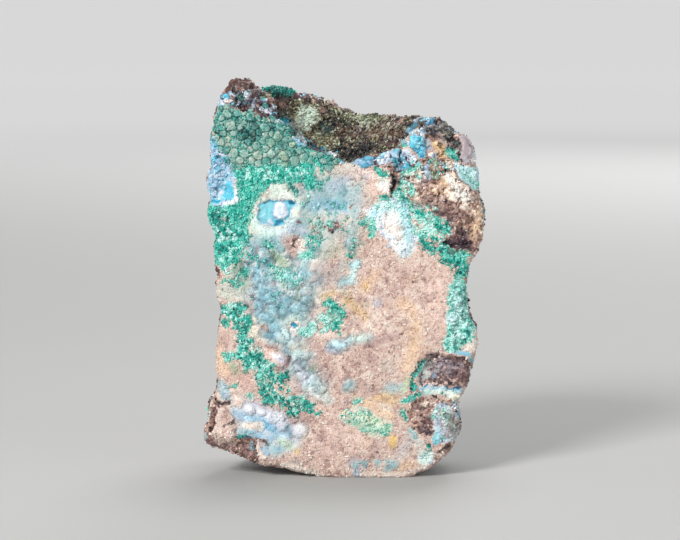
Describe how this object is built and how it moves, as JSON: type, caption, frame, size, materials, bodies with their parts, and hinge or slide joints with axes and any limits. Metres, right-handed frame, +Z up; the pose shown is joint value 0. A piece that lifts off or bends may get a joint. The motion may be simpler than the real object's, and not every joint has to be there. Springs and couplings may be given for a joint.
{
  "type": "chrysocolla mineral specimen",
  "caption": "Upright slab of copper-stained rock with a crust of blue and green copper minerals, pink quartz druse and a lined hollow at its top.",
  "frame": {"origin": "middle of the box's underside, on the plane that the foot stands on", "axes": "+Z up, the crusted face looks towards -Y, +X to the right of a viewer who faces the crust"},
  "size_m": [0.0591, 0.0307, 0.0833],
  "materials": {
    "mineral_rock": "rough broken rock with a sparkling mineral crust"
  },
  "bodies": {
    "root": {"chrysocolla_specimen": "mineral_rock"}
  },
  "joints": []
}
